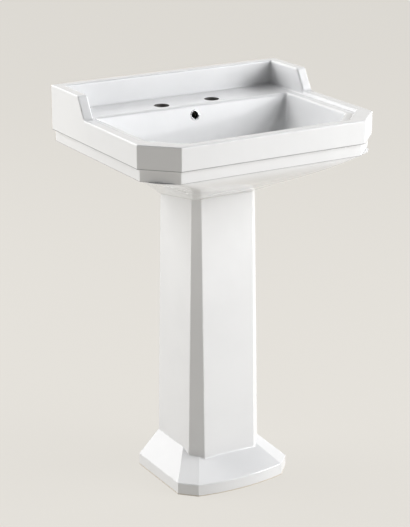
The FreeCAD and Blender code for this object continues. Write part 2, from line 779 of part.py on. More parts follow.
turned("plug_cap", [
    ("0", SEAL_THICK), ("cap_dia / 2 - 0.8", SEAL_THICK), ("cap_dia / 2", SEAL_THICK + " + 0.8"),
    ("cap_dia / 2", CAP_TOP + " - 1.6"), ("cap_dia / 2 - 0.6", CAP_TOP + " - 0.5"),
    ("cap_dia / 2 - 2", CAP_TOP), ("cap_dia / 4", CAP_TOP + " + cap_dome * 0.75"),
    ("0", CAP_TOP + " + cap_dome"),
], PLUG_LEVEL)
turned("plug_seal", corner_ring("waste_bore_dia / 2 + 1.5", "cap_dia / 2 - 1.5", "0", SEAL_THICK), PLUG_LEVEL)
turned("plug_stem", [
    ("0", CLIP_TOP_Z + " - 2.4"), (STEM_R, CLIP_TOP_Z + " - 2.4"), (STEM_R, COLLAR_Z),
    (STEM_R + " + 3", COLLAR_Z), (STEM_R + " + 3", COLLAR_Z + " + 2"), (STEM_R, COLLAR_Z + " + 2"),
    (STEM_R, SEAL_THICK), ("0", SEAL_THICK),
], PLUG_LEVEL)
turned("plug_clip", corner_ring(STEM_R, STEM_R + " + 2.5", CLIP_TOP_Z + " - 1.6", CLIP_TOP_Z), PLUG_LEVEL)

guide_hub = turned("guide_hub", corner_ring(STEM_R + " + guide_play", STEM_R + " + 4", GUIDE_LOW_Z, GUIDE_TOP_Z),
                   FLOOR_LEVEL)
guide_rim = turned("guide_rim", corner_ring(BORE_R + " - 2", BORE_R, GUIDE_LOW_Z, GUIDE_TOP_Z), FLOOR_LEVEL)
spokes = []
for turn in (90, 210, 330):
    spoke = bound("Part::Box", f"guide_spoke_{turn}", Length="(waste_bore_dia - stem_dia) / 2 - 4",
                  Width="3", Height="guide_height - 4")
    bind_place(spoke, z=FLOOR_LEVEL + " + " + GUIDE_LOW_Z + " + 2")
    spoke.setExpression("Placement.Base.x", linked(f"cos({turn} deg) * (stem_dia / 2 + 3) + sin({turn} deg) * 1.5"))
    spoke.setExpression("Placement.Base.y", linked(
        f"basin_depth / 2 - waste_from_wall + sin({turn} deg) * (stem_dia / 2 + 3) - cos({turn} deg) * 1.5"))
    spoke.Placement.Rotation = Rotation(Vector(0, 0, 1), turn)
    spokes.append(spoke)
guide = doc.addObject("Part::MultiFuse", "plug_guide")
guide.Shapes = [guide_hub, guide_rim] + spokes
guide.Label = "plug_guide"

# Spring round the stem, from the guide's top to the stem's collar.
spring_low = value_of(FLOOR_LEVEL) + value_of(GUIDE_TOP_Z)
spring_high = value_of(PLUG_LEVEL) + value_of(COLLAR_Z)
wire_r = size("spring_wire") / 2
coil_r = size("spring_dia") / 2 - wire_r
coil_height = spring_high - spring_low - 2 * wire_r
turns = 6
steps = 8


def coil_point(step):
    """Point on the spring's centre line after a number of eighths of a turn."""
    angle = 2 * math.pi * step / steps
    return Vector(coil_r * math.cos(angle), coil_r * math.sin(angle), coil_height * step / (turns * steps))


coil_line = Part.BSplineCurve()
coil_line.interpolate([coil_point(step) for step in range(turns * steps + 1)])
coil_start = coil_line.tangent(coil_line.FirstParameter)[0]
wire_section = Part.Wire(Part.makeCircle(wire_r, coil_point(0), coil_start))
spring = Part.Wire(coil_line.toShape()).makePipeShell([wire_section], True, True)
feature("plug_spring", spring, Placement(Vector(0, y_at(WASTE_OUT), spring_low + wire_r), Rotation()))

# ---------------------------------------------------------------- bottle trap, inside the column

INLET_NUT_TOP_Z = TAIL_Z + " + 12"
COLLAR_TOP_Z = TAIL_Z + " - trap_seal_thick"
COLLAR_LOW_Z = COLLAR_TOP_Z + " - 3"
SHOULDER_Z = COLLAR_TOP_Z + " - trap_inlet_length"
BODY_LOW_Z = SHOULDER_Z + " - trap_body_height"
PIPE_R = "trap_pipe_dia / 2"
PIPE_BORE = "trap_pipe_dia / 2 - trap_pipe_wall"
BODY_R = "trap_body_dia / 2"
BODY_BORE = "trap_body_dia / 2 - trap_wall"
OUTLET_LEVEL = FLOOR_LEVEL + " + " + SHOULDER_Z + " - 21"

turned("trap_inlet_washer", corner_ring(PIPE_BORE, TAIL_R + " - 0.5", COLLAR_TOP_Z, TAIL_Z), FLOOR_LEVEL)
turned("trap_inlet_nut", [
    (PIPE_R + " + 0.4", COLLAR_LOW_Z + " - 3"), (NUT_R + " + trap_nut_wall", COLLAR_LOW_Z + " - 3"),
    (NUT_R + " + trap_nut_wall", INLET_NUT_TOP_Z), (NUT_R, INLET_NUT_TOP_Z),
    (NUT_R, COLLAR_LOW_Z), (PIPE_R + " + 0.4", COLLAR_LOW_Z),
], FLOOR_LEVEL)

trap_shell = turned("trap_shell", [
    (PIPE_BORE, COLLAR_TOP_Z), (TAIL_R + " - 0.5", COLLAR_TOP_Z), (TAIL_R + " - 0.5", COLLAR_LOW_Z),
    (PIPE_R, COLLAR_LOW_Z), (PIPE_R, SHOULDER_Z), (BODY_R + " - 3", SHOULDER_Z), (BODY_R, SHOULDER_Z + " - 3"),
    (BODY_R, BODY_LOW_Z), (BODY_BORE, BODY_LOW_Z), (BODY_BORE, SHOULDER_Z + " - trap_wall"),
    (PIPE_BORE, SHOULDER_Z + " - trap_wall"),
], FLOOR_LEVEL)
STUB_END = BODY_R + " + trap_stub_length"


def lying(name, radius, start, length):
    """Cylinder on the outlet's axis, running to the wall from 'start' beyond the trap's axis."""
    item = bound("Part::Cylinder", name, Radius=radius, Height=length)
    item.Placement.Rotation = Rotation(Vector(1, 0, 0), -90)
    bind_place(item, out=f"waste_from_wall - ({start})", z=OUTLET_LEVEL)
    return item


stub = lying("trap_stub", PIPE_R + " + 2.5", BODY_R + " - 4", "trap_stub_length + 4")
stub_bore = lying("trap_stub_bore", PIPE_R + " + thread_play", BODY_R + " - 0.5", "trap_stub_length + 10")
stub_way = lying("trap_stub_way", PIPE_BORE, BODY_R + " - 12", "trap_stub_length + 20")
shell_fuse = doc.addObject("Part::MultiFuse", "trap_shell_and_stub")
shell_fuse.Shapes = [trap_shell, stub]
shell_ways = doc.addObject("Part::MultiFuse", "trap_ways")
shell_ways.Shapes = [stub_bore, stub_way]
named_cut("trap_body", shell_fuse, shell_ways)

turned("trap_dip_tube", [
    (PIPE_BORE + " - 1.5", COLLAR_TOP_Z + " - 12"), (PIPE_BORE, COLLAR_TOP_Z + " - 12"),
    (PIPE_BORE, SHOULDER_Z + " - trap_wall"), (PIPE_BORE + " + 4", SHOULDER_Z + " - trap_wall"),
    (PIPE_BORE + " + 4", SHOULDER_Z + " - trap_wall - 2"), (PIPE_BORE, SHOULDER_Z + " - trap_wall - 2"),
    (PIPE_BORE, BODY_LOW_Z + " - trap_cup_depth / 3"), (PIPE_BORE + " - 1.5", BODY_LOW_Z + " - trap_cup_depth / 3"),
], FLOOR_LEVEL)

CUP_SHELF_Z = BODY_LOW_Z + " - trap_seal_thick"
CUP_LOW_Z = BODY_LOW_Z + " - trap_cup_depth"
CUP_R = BODY_R + " + thread_play + trap_nut_wall"
turned("trap_cup", [
    (BODY_R + " + thread_play", BODY_LOW_Z + " + cup_grip"), (CUP_R, BODY_LOW_Z + " + cup_grip"),
    (CUP_R, CUP_SHELF_Z + " - 2"), (BODY_R, CUP_SHELF_Z + " - 6"), (BODY_R, CUP_LOW_Z + " + 6"),
    (BODY_R + " - 5", CUP_LOW_Z), ("0", CUP_LOW_Z), ("0", CUP_LOW_Z + " + trap_wall"),
    (BODY_BORE + " - 4", CUP_LOW_Z + " + trap_wall"), (BODY_BORE, CUP_LOW_Z + " + trap_wall + 5"),
    (BODY_BORE, CUP_SHELF_Z), (BODY_R + " + thread_play", CUP_SHELF_Z),
], FLOOR_LEVEL)
turned("trap_cup_seal", corner_ring(BODY_BORE, BODY_R, CUP_SHELF_Z, BODY_LOW_Z), FLOOR_LEVEL)


def to_wall(name, profile):
    """Turned body whose axis runs from the trap's axis straight to the wall."""
    body = turned(name, profile, OUTLET_LEVEL)
    body.Placement.Rotation = Rotation(Vector(1, 0, 0), -90)
    return body


STUB_R = PIPE_R + " + 2.5"
to_wall("outlet_washer", corner_ring(PIPE_R, STUB_R, STUB_END, STUB_END + " + trap_seal_thick"))
to_wall("outlet_nut", [
    (STUB_R + " + thread_play", STUB_END + " - 13"), (STUB_R + " + thread_play + trap_nut_wall", STUB_END + " - 13"),
    (STUB_R + " + thread_play + trap_nut_wall", STUB_END + " + trap_seal_thick + 3"),
    (PIPE_R + " + 0.4", STUB_END + " + trap_seal_thick + 3"), (PIPE_R + " + 0.4", STUB_END + " + trap_seal_thick"),
    (STUB_R + " + thread_play", STUB_END + " + trap_seal_thick"),
])
to_wall("outlet_pipe", corner_ring(PIPE_BORE, PIPE_R, BODY_R + " + 1", "waste_from_wall"))
to_wall("escutcheon", [
    (PIPE_R + " + thread_play", "waste_from_wall - escutcheon_thick"),
    (PIPE_R + " + 4", "waste_from_wall - escutcheon_thick"), ("escutcheon_dia / 2", "waste_from_wall - 2"),
    ("escutcheon_dia / 2", "waste_from_wall"), (PIPE_R + " + thread_play", "waste_from_wall"),
])

# ---------------------------------------------------------------- checks and export

NODES = [
    "basin", "pedestal", "seat_gasket", "overflow_ring", "waste_body", "waste_foam", "waste_washer",
    "waste_backnut", "plug_cap", "plug_seal", "plug_stem", "plug_clip", "plug_guide", "plug_spring",
    "trap_inlet_washer", "trap_inlet_nut", "trap_body", "trap_dip_tube", "trap_cup", "trap_cup_seal",
    "outlet_washer", "outlet_nut", "outlet_pipe", "escutcheon",
]

doc.recompute()
for item in doc.Objects:
    if {"Invalid", "Error"} & set(item.State):
        raise RuntimeError(f"{item.Name} failed to build: {item.State}")
for name in NODES:
    shape = doc.getObject(name).Shape
    if shape.isNull() or not shape.isValid() or len(shape.Solids) != 1:
        raise RuntimeError(f"{name} is not one valid solid")
    shape.exportStep(f"parts/{name}.step")
    print(f"{name:20s} {shape.Volume / 1000:10.2f} cm3")
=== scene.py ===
"""White glazed pedestal sink: finishes, turned fittings, stage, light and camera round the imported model.

Every length is in metres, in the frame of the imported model: +Z up, the user at -Y, the wall at +Y.
"""

import json
import math

import bpy
import numpy as np
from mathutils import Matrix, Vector


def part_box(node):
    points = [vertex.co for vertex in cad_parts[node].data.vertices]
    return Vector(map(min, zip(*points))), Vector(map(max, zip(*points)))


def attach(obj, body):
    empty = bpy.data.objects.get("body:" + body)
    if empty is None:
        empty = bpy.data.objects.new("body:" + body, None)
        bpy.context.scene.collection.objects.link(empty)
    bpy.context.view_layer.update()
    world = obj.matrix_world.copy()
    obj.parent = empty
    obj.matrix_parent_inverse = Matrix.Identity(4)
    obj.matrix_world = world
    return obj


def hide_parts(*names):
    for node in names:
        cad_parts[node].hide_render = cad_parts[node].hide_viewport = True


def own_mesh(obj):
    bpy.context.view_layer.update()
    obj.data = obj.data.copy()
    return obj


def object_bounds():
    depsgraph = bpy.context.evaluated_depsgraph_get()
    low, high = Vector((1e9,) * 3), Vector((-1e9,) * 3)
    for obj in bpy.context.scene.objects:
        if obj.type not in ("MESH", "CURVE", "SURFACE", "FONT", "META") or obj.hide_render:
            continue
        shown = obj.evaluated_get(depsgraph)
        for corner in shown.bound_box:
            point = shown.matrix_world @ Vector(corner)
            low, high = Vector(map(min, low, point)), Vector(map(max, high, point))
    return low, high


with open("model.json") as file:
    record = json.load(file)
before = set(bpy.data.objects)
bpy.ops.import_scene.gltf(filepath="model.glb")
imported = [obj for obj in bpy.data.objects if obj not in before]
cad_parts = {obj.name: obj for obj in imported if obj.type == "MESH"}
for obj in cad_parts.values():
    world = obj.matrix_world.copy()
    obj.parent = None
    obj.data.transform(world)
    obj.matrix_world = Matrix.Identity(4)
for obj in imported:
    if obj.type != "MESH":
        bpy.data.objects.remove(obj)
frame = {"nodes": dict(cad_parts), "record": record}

CAD_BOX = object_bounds()
NODES = frame["nodes"]
WALL_Y = CAD_BOX[1].y
MM = 0.001

# ---------------------------------------------------------------- shader building


def new_group(name, inputs, outputs):
    """Empty shader node group with named number or colour sockets."""
    group = bpy.data.node_groups.new(name, "ShaderNodeTree")
    for label, kind, value in inputs:
        socket = group.interface.new_socket(name=label, in_out="INPUT", socket_type=kind)
        if value is not None:
            socket.default_value = value
    for label, kind in outputs:
        group.interface.new_socket(name=label, in_out="OUTPUT", socket_type=kind)
    return group


class Sheet:
    """Short hand for adding nodes to one tree and linking them."""

    def __init__(self, tree):
        self.tree = tree

    def add(self, kind, **settings):
        node = self.tree.nodes.new(kind)
        for key, value in settings.items():
            setattr(node, key, value)
        return node

    def link(self, start, end):
        self.tree.links.new(start, end)

    def put(self, value, socket):
        """Link a socket to another node's output, or set it to a plain value."""
        if isinstance(value, bpy.types.NodeSocket):
            self.link(value, socket)
        else:
            socket.default_value = value

    def fill(self, node, **values):
        """Set or link sockets by name; spaces are written as underscores."""
        for key, value in values.items():
            self.put(value, node.inputs[key.replace("_", " ")])
        return node

    def split(self, vector):
        """The x, y and z of a vector."""
        return self.fill(self.add("ShaderNodeSeparateXYZ"), Vector=vector).outputs

    def noise(self, at, scale, detail=2.0, rough=0.5, stretch=None):
        """Soft noise from 0 to 1 over a position in metres."""
        if stretch:
            mapping = self.add("ShaderNodeMapping")
            mapping.inputs["Scale"].default_value = stretch
            self.link(at, mapping.inputs["Vector"])
            at = mapping.outputs["Vector"]
        node = self.add("ShaderNodeTexNoise")
        self.fill(node, Vector=at, Scale=scale, Detail=detail, Roughness=rough)
        return node.outputs["Fac"]

    def ramp(self, fac, low, high, to_low=0.0, to_high=1.0):
        """Eased step of a number from to_low at 'low' to to_high at 'high'."""
        node = self.add("ShaderNodeMapRange", interpolation_type="SMOOTHSTEP")
        self.fill(node, Value=fac, From_Min=low, From_Max=high, To_Min=to_low, To_Max=to_high)
        return node.outputs["Result"]

    def math(self, operation, first, second=0.0):
        """One sum, product or other operation on two numbers."""
        node = self.add("ShaderNodeMath", operation=operation)
        self.put(first, node.inputs[0])
        self.put(second, node.inputs[1])
        return node.outputs["Value"]

    def blend(self, fac, first, second):
        """Colour mix from first to second."""
        node = self.add("ShaderNodeMix", data_type="RGBA")
        self.put(fac, node.inputs[0])
        self.put(first, node.inputs[6])
        self.put(second, node.inputs[7])
        return node.outputs[2]


def glaze_group():
    """Fired glaze: slow waves, fine orange peel, pin holes and cloudy tone over a position."""
    group = new_group(
        "fired_glaze",
        [("Position", "NodeSocketVector", None), ("Tone", "NodeSocketColor", (0.8, 0.8, 0.78, 1)),
         ("Shade", "NodeSocketColor", (0.74, 0.74, 0.71, 1)), ("Wave", "NodeSocketFloat", 1.0),
         ("Peel", "NodeSocketFloat", 1.0)],
        [("Colour", "NodeSocketColor"), ("Roughness", "NodeSocketFloat"), ("Height", "NodeSocketFloat")])
    s = Sheet(group)
    here = s.add("NodeGroupInput")
    out = s.add("NodeGroupOutput")
    at = here.outputs["Position"]
    waves = s.noise(at, 9.0, 1.0, 0.4)
    swell = s.noise(at, 34.0, 1.0, 0.4)
    peel = s.noise(at, 420.0, 2.0, 0.5)
    cloud = s.noise(at, 5.5, 3.0, 0.55)
    cells = s.fill(s.add("ShaderNodeTexVoronoi", feature="F1"), Vector=at, Scale=62.0)
    cell_colour = s.fill(s.add("ShaderNodeSeparateColor"), Color=cells.outputs["Color"])
    few_cells = s.math("GREATER_THAN", cell_colour.outputs[0], 0.93)
    pin = s.math("MULTIPLY", s.ramp(cells.outputs["Distance"], 0.012, 0.045, 1.0, 0.0), few_cells)
    rolling = s.math("ADD", s.math("MULTIPLY", waves, 2.4), s.math("MULTIPLY", swell, 0.45))
    rolling = s.math("MULTIPLY", rolling, here.outputs["Wave"])
    orange_peel = s.math("MULTIPLY", s.math("MULTIPLY", peel, 0.028), here.outputs["Peel"])
    height = s.math("SUBTRACT", s.math("ADD", rolling, orange_peel), s.math("MULTIPLY", pin, 0.05))
    toned = s.blend(s.ramp(cloud, 0.35, 0.7), here.outputs["Tone"], here.outputs["Shade"])
    toned = s.blend(s.math("MULTIPLY", pin, 0.35), toned, (0.42, 0.38, 0.33, 1))
    s.link(toned, out.inputs["Colour"])
    dull_peel = s.math("MULTIPLY", s.ramp(peel, 0.4, 0.8), 0.03)
    s.link(s.math("ADD", s.ramp(cloud, 0.3, 0.75, 0.045, 0.085), dull_peel), out.inputs["Roughness"])
    s.link(height, out.inputs["Height"])
    return group


def grain_group():
    """Fine even grain of moulded rubber, foam or plastic, with a few scuffs."""
    group = new_group(
        "moulded_grain",
        [("Position", "NodeSocketVector", None), ("Tone", "NodeSocketColor", (0.5, 0.5, 0.5, 1)),
         ("Scuffed", "NodeSocketColor", (0.6, 0.6, 0.6, 1)), ("Fineness", "NodeSocketFloat", 900.0),
         ("Smooth", "NodeSocketFloat", 0.35)],
        [("Colour", "NodeSocketColor"), ("Roughness", "NodeSocketFloat"), ("Height", "NodeSocketFloat")])
    s = Sheet(group)
    here = s.add("NodeGroupInput")
    out = s.add("NodeGroupOutput")
    at = here.outputs["Position"]
    grain = s.noise(at, here.outputs["Fineness"], 3.0, 0.6)
    flow = s.noise(at, 46.0, 3.0, 0.6, stretch=(1, 1, 0.3))
    scratched = s.noise(at, 160.0, 5.0, 0.7)
    scuff = s.math("MULTIPLY", s.ramp(scratched, 0.58, 0.7), s.ramp(flow, 0.5, 0.66))
    worn = s.math("MULTIPLY", s.ramp(flow, 0.3, 0.7), 0.3)
    shade = s.blend(worn, here.outputs["Tone"], here.outputs["Scuffed"])
    s.link(s.blend(scuff, shade, here.outputs["Scuffed"]), out.inputs["Colour"])
    roughened = s.math("MULTIPLY", s.math("ADD", grain, scuff), 0.16)
    s.link(s.math("ADD", here.outputs["Smooth"], roughened), out.inputs["Roughness"])
    height = s.math("ADD", s.math("MULTIPLY", grain, 0.06), s.math("MULTIPLY", flow, 0.12))
    s.link(height, out.inputs["Height"])
    return group


def metal_group():
    """Machined and plated metal: hair scratches round it, soft smears and a few water marks."""
    group = new_group(
        "plated_metal",
        [("Position", "NodeSocketVector", None), ("Tone", "NodeSocketColor", (0.8, 0.8, 0.8, 1)),
         ("Stain", "NodeSocketColor", (0.6, 0.58, 0.55, 1)), ("Polish", "NodeSocketFloat", 0.08),
         ("Stained", "NodeSocketFloat", 0.3)],
        [("Colour", "NodeSocketColor"), ("Roughness", "NodeSocketFloat"), ("Height", "NodeSocketFloat")])
    s = Sheet(group)
    here = s.add("NodeGroupInput")
    out = s.add("NodeGroupOutput")
    at = here.outputs["Position"]
    hair = s.noise(at, 240.0, 3.0, 0.7, stretch=(0.6, 0.6, 14.0))
    smear = s.noise(at, 70.0, 4.0, 0.6)
    marks = s.fill(s.add("ShaderNodeTexVoronoi", feature="DISTANCE_TO_EDGE"), Vector=at, Scale=150.0)
    drop_edge = s.ramp(marks.outputs["Distance"], 0.0, 0.05, 1.0, 0.0)
    ring = s.math("MULTIPLY", drop_edge, s.ramp(smear, 0.52, 0.7))
    smeared = s.math("MULTIPLY", s.ramp(smear, 0.42, 0.72), here.outputs["Stained"])
    stained = s.math("MAXIMUM", smeared, s.math("MULTIPLY", ring, 0.25))
    s.link(s.blend(stained, here.outputs["Tone"], here.outputs["Stain"]), out.inputs["Colour"])
    rough = s.math("ADD", here.outputs["Polish"], s.math("MULTIPLY", s.math("ADD", smear, ring), 0.12))
    s.link(rough, out.inputs["Roughness"])
    height = s.math("ADD", s.math("MULTIPLY", hair, 0.012), s.math("MULTIPLY", smear, 0.02))
    s.link(height, out.inputs["Height"])
    return group


GLAZE = glaze_group()
GRAIN = grain_group()
METAL = metal_group()


def start_material(name, group, **values):
    """Material with one Principled shader, and a surface group that reads Object coordinates."""
    material = bpy.data.materials.new(name)
    material.use_nodes = True
    material.node_tree.nodes.clear()
    s = Sheet(material.node_tree)
    end = s.add("ShaderNodeOutputMaterial")
    shader = s.add("ShaderNodeBsdfPrincipled")
    s.link(shader.outputs["BSDF"], end.inputs["Surface"])
    place = s.add("ShaderNodeTexCoord").outputs["Object"]
    surface = s.add("ShaderNodeGroup", node_tree=group)
    s.fill(surface, Position=place, **values)
    return material, s, shader, surface, place


def bumped(s, shader, height, strength, distance=MM):
    """Feed a height in millimetres to the shader's normal."""
    bump = s.fill(s.add("ShaderNodeBump"), Strength=strength, Distance=distance, Height=height)
    s.link(bump.outputs["Normal"], shader.inputs["Normal"])


# Raw clay tones of the foot and the back; inside the hollow they are also painted shade.
BISCUIT_AND_SHADE_TONES = ((0.56, 0.5, 0.42, 1), (0.7, 0.65, 0.56, 1))
# Near-black painted shade for the walls of the tap holes.
HOLE_SHADE_TONE = (0.13, 0.127, 0.124, 1)
# Grey of the painted shadow lines under the basin's slab and band.
CREASE_SHADOW_TONE = (0.34, 0.34, 0.35, 1)


def outward(s, face, x, y, heart_y=0.0):
    """How far a face looks away from the upright line x = 0, y = heart_y: its normal . (x, y - heart_y)."""
    from_heart = s.math("SUBTRACT", y, heart_y)
    return s.math("ADD", s.math("MULTIPLY", face[0], x), s.math("MULTIPLY", face[1], from_heart))


def seat_mask(s, y, z, wander, floor_z):
    """The raw faces against the wall and on a floor at floor_z."""
    back = s.ramp(s.math("ADD", y, wander), WALL_Y - 0.9 * MM, WALL_Y + 0.4 * MM)
    foot = s.ramp(s.math("SUBTRACT", z, wander), floor_z + 2.2 * MM, floor_z + 0.8 * MM)
    return s.math("MAXIMUM", back, foot)


def hollow_raw_and_shade_mask(s, spot, face, wander, heart_y, inside_y, inside_top, boss_half):
    """The raw faces of the hollow that lies beyond inside_y and below inside_top, whose darker clay tone is
    also painted shade.

    Raw there are the faces that look back at the line x = 0, y = heart_y, the roof close under the top,
    and all that is nearer the plane x = 0 than boss_half.
    """
    x, y, z = spot
    walls = s.ramp(outward(s, face, x, y, heart_y), -4 * MM, -12 * MM)
    under_top = s.ramp(z, inside_top - 50 * MM, inside_top - 45 * MM)
    roof = s.math("MULTIPLY", s.ramp(face[2], -0.6, -0.8), under_top)
    boss = s.ramp(s.math("ABSOLUTE", x), boss_half + 3 * MM, boss_half)
    raw = s.math("MAXIMUM", s.math("MAXIMUM", walls, roof), boss)
    beyond = s.ramp(s.math("ADD", y, wander), inside_y, inside_y + 3 * MM)
    below = s.ramp(s.math("ADD", z, wander), inside_top, inside_top - 3 * MM)
    return s.math("MULTIPLY", s.math("MULTIPLY", raw, beyond), below)


def hole_shade_mask(s, spot, hole):
    """Painted shade on the wall of a hole drilled on both sides of x = 0, given as (x, y, radius, low)."""
    x, y, z = spot
    hole_x, hole_y, radius, low = hole
    off_x = s.math("SUBTRACT", s.math("ABSOLUTE", x), abs(hole_x))
    off_y = s.math("SUBTRACT", y, hole_y)
    squares = s.math("ADD", s.math("MULTIPLY", off_x, off_x), s.math("MULTIPLY", off_y, off_y))
    near = s.ramp(s.math("SQRT", squares), radius + 0.6 * MM, radius + 0.3 * MM)
    return s.math("MULTIPLY", near, s.ramp(z, low - 10 * MM, low))


def shadow_line_mask(s, z, outside, edge):
    """A painted shadow line along an outer lower edge, given as (height, depth)."""
    height, depth = edge
    beneath = s.ramp(z, height + depth, height + 0.7 * depth)
    above = s.ramp(z, height - 1.2 * MM, height - 0.8 * MM)
    return s.math("MULTIPLY", s.math("MULTIPLY", beneath, outside), above)


def china(name, tone, shade, heart_y, floor_z=-1.0, inside_y=-1.0, inside_top=2.0, boss_half=-1.0,
          holes=(), shadow_lines=()):
    """Glazed china that is left raw on the wall, on the floor and inside its hollow, with painted shade in
    the hollow and in its drilled holes and painted shadow lines along its lower edges.

    The masks say what heart_y to boss_half, 'holes' and the painted shadow lines are. The defaults lie
    outside the object, so they leave the floor out, bound the hollow nowhere and give it no boss.
    """
    material, s, shader, surface, place = start_material(name, GLAZE, Tone=tone, Shade=shade)
    spot = s.split(place)
    x, y, z = spot
    face = s.split(s.add("ShaderNodeNewGeometry").outputs["Normal"])
    wander = s.math("MULTIPLY", s.noise(place, 90.0, 3.0, 0.6), 2.2 * MM)
    seat = seat_mask(s, y, z, wander, floor_z)
    # Raw clay inside the hollow, darker also as painted shade.
    inside = hollow_raw_and_shade_mask(s, spot, face, wander, heart_y, inside_y, inside_top, boss_half)
    bare_and_shaded = s.math("MAXIMUM", seat, inside)
    clay = s.noise(place, 700.0, 4.0, 0.7)
    clay_and_shade = s.blend(clay, *BISCUIT_AND_SHADE_TONES)
    # Painted shade darkens the walls of the tap holes.
    for hole in holes:
        drilled = hole_shade_mask(s, spot, hole)
        bare_and_shaded = s.math("MAXIMUM", bare_and_shaded, drilled)
        clay_and_shade = s.blend(drilled, clay_and_shade, HOLE_SHADE_TONE)
    glazed = surface.outputs["Colour"]
    off_wall = s.ramp(y, WALL_Y - 1 * MM, WALL_Y - 2 * MM)
    outside = s.math("MULTIPLY", s.ramp(outward(s, face, x, y), 0.17, 0.19), off_wall)
    # Painted shadow lines along the lower outer edges.
    for edge in shadow_lines:
        glazed = s.blend(shadow_line_mask(s, z, outside, edge), glazed, CREASE_SHADOW_TONE)
    s.link(s.blend(bare_and_shaded, glazed, clay_and_shade), shader.inputs["Base Color"])
    rough = s.math("ADD", s.math("MULTIPLY", bare_and_shaded, 0.78), surface.outputs["Roughness"])
    s.link(rough, shader.inputs["Roughness"])
    s.link(s.math("MULTIPLY", s.math("SUBTRACT", 1.0, bare_and_shaded), 0.25), shader.inputs["Coat Weight"])
    gritty = s.math("MULTIPLY", s.math("MULTIPLY", clay, bare_and_shaded), 0.2)
    bumped(s, shader, s.math("ADD", surface.outputs["Height"], gritty), 0.55)
    s.fill(shader, IOR=1.52, Specular_IOR_Level=0.5, Coat_Roughness=0.04)
    return material


def moulded(name, tone, scuffed, smooth, fineness=900.0, depth=0.4, sheen=0.0):
    """Plastic, rubber, foam or silicone with its grain."""
    material, s, shader, surface, place = start_material(
        name, GRAIN, Tone=tone, Scuffed=scuffed, Smooth=smooth, Fineness=fineness)
    s.link(surface.outputs["Colour"], shader.inputs["Base Color"])
    s.link(surface.outputs["Roughness"], shader.inputs["Roughness"])
    bumped(s, shader, surface.outputs["Height"], depth)
    shader.inputs["Sheen Weight"].default_value = sheen
    return material


# Near-black painted shade inside a bore.
BORE_SHADE_TONE = (0.022, 0.022, 0.021, 1)


def plated(name, tone, stain, polish, stained, sleeve=None):
    """Chrome, brass or steel. 'sleeve' is the (point, axis, radius) of a bore that is dull inside and
    darkened there as painted shade.

    Its mask is the distance from the axis, |(place - point) x axis|, against the radius.
    """
    material, s, shader, surface, place = start_material(
        name, METAL, Tone=tone, Stain=stain, Polish=polish, Stained=stained)
    colour, rough = surface.outputs["Colour"], surface.outputs["Roughness"]
    if sleeve:
        point, axis, radius = sleeve
        from_point = s.add("ShaderNodeVectorMath", operation="SUBTRACT")
        s.link(place, from_point.inputs[0])
        from_point.inputs[1].default_value = point
        from_axis = s.add("ShaderNodeVectorMath", operation="CROSS_PRODUCT")
        s.link(from_point.outputs["Vector"], from_axis.inputs[0])
        from_axis.inputs[1].default_value = axis
        away = s.add("ShaderNodeVectorMath", operation="LENGTH")
        s.link(from_axis.outputs["Vector"], away.inputs[0])
        # Painted shade inside the bore.
        inside = s.ramp(away.outputs["Value"], radius, radius - 0.5 * MM)
        colour = s.blend(inside, colour, BORE_SHADE_TONE)
        rough = s.math("ADD", rough, s.math("MULTIPLY", inside, 0.5))
    s.link(colour, shader.inputs["Base Color"])
    s.link(rough, shader.inputs["Roughness"])
    bumped(s, shader, surface.outputs["Height"], 0.5)
    shader.inputs["Metallic"].default_value = 1.0
    return material


def chrome(name, sleeve=None):
    """Bright chrome plate on the waste, the plug and the overflow's bezel."""
    return plated(name, (0.78, 0.79, 0.8, 1), (0.62, 0.62, 0.61, 1), 0.05, 0.25, sleeve)


TAP_HOLE = next(mount for mount in frame["record"]["mounts"] if mount["name"] == "tap_hole_right")
TAP_X, TAP_Y, TAP_Z = TAP_HOLE["pos_m"]
TAP_R = TAP_HOLE["dims"]["r_mm"] * MM
LEDGE_THICK = 12 * MM
SLAB_FOOT = 0.827
BAND_FOOT = 0.799
BASIN_CHINA = china(
    "basin_white_glaze", (0.822, 0.826, 0.832, 1), (0.794, 0.798, 0.804, 1),
    heart_y=0.175, inside_y=0.118, inside_top=TAP_Z - 5 * MM, boss_half=50 * MM,
    # Painted shade on the walls of the tap holes.
    holes=[(TAP_X, TAP_Y, TAP_R, TAP_Z - LEDGE_THICK)],
    # Painted shadow lines under the slab and the band.
    shadow_lines=[(SLAB_FOOT, 1.8 * MM), (BAND_FOOT, 0.9 * MM)])
PEDESTAL_CHINA = china("pedestal_white_glaze", (0.82, 0.824, 0.831, 1), (0.792, 0.796, 0.803, 1),
                       heart_y=0.04, floor_z=0.0)
CHROME = chrome("bright_chrome")
STEEL = plated("spring_steel", (0.55, 0.55, 0.56, 1), (0.4, 0.39, 0.38, 1), 0.2, 0.4)
BRASS = plated("turned_brass", (0.72, 0.53, 0.25, 1), (0.42, 0.29, 0.13, 1), 0.22, 0.6)
RUBBER = moulded("black_rubber_washer", (0.018, 0.018, 0.019, 1), (0.07, 0.07, 0.068, 1), 0.5, 1200.0, 0.5)
FOAM = moulded("grey_foam_seal", (0.16, 0.16, 0.165, 1), (0.25, 0.25, 0.25, 1), 0.75, 1900.0, 0.9, 0.2)
SILICONE = moulded("clear_white_silicone", (0.74, 0.74, 0.72, 1), (0.64, 0.63, 0.6, 1), 0.3, 300.0, 0.3)
PLASTIC = moulded("white_trap_plastic", (0.78, 0.78, 0.76, 1), (0.66, 0.65, 0.61, 1), 0.28, 1400.0, 0.3)

